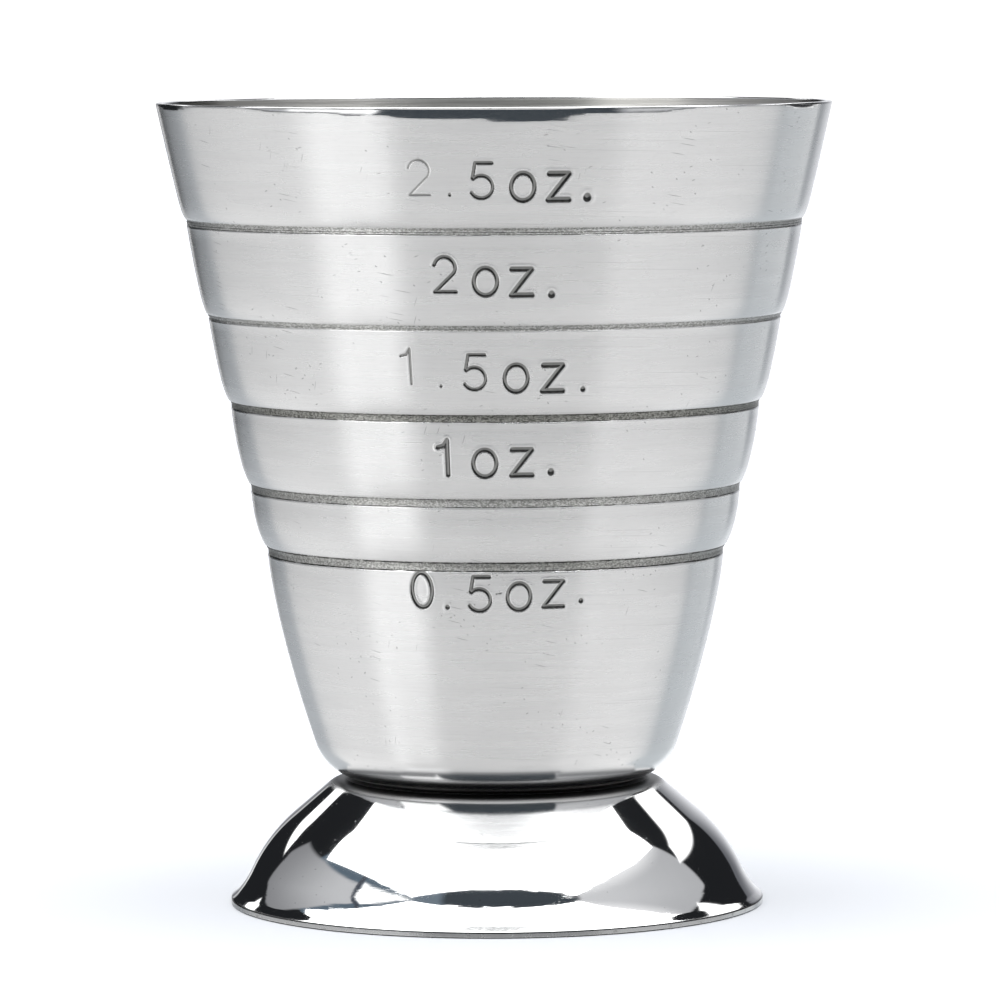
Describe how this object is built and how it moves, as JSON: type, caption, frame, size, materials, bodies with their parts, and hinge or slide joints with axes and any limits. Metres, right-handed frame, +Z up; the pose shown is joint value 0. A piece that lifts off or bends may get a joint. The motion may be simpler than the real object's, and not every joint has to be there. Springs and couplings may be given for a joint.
{
  "type": "stepped bar jigger",
  "caption": "Graduated steel bar jigger: a stepped, tapering measuring cup with creased fill marks, welded to a hollow flared polished foot.",
  "frame": {"origin": "centre of the ring that the foot stands on, at the standing surface", "axes": "+Z up along the axis of revolution to the rim; -Y faces the stamped graduations"},
  "size_m": [0.056, 0.056, 0.0667],
  "materials": {
    "satin_steel": "fine brushing round the cup, matt etched marks, stamped graduations",
    "mirror_steel": "mirror polished stainless steel",
    "weld_metal": "fused weld nuggets, dull"
  },
  "bodies": {
    "root": {"cup": "satin_steel", "foot": "mirror_steel", "spot_welds": "weld_metal"}
  },
  "joints": []
}
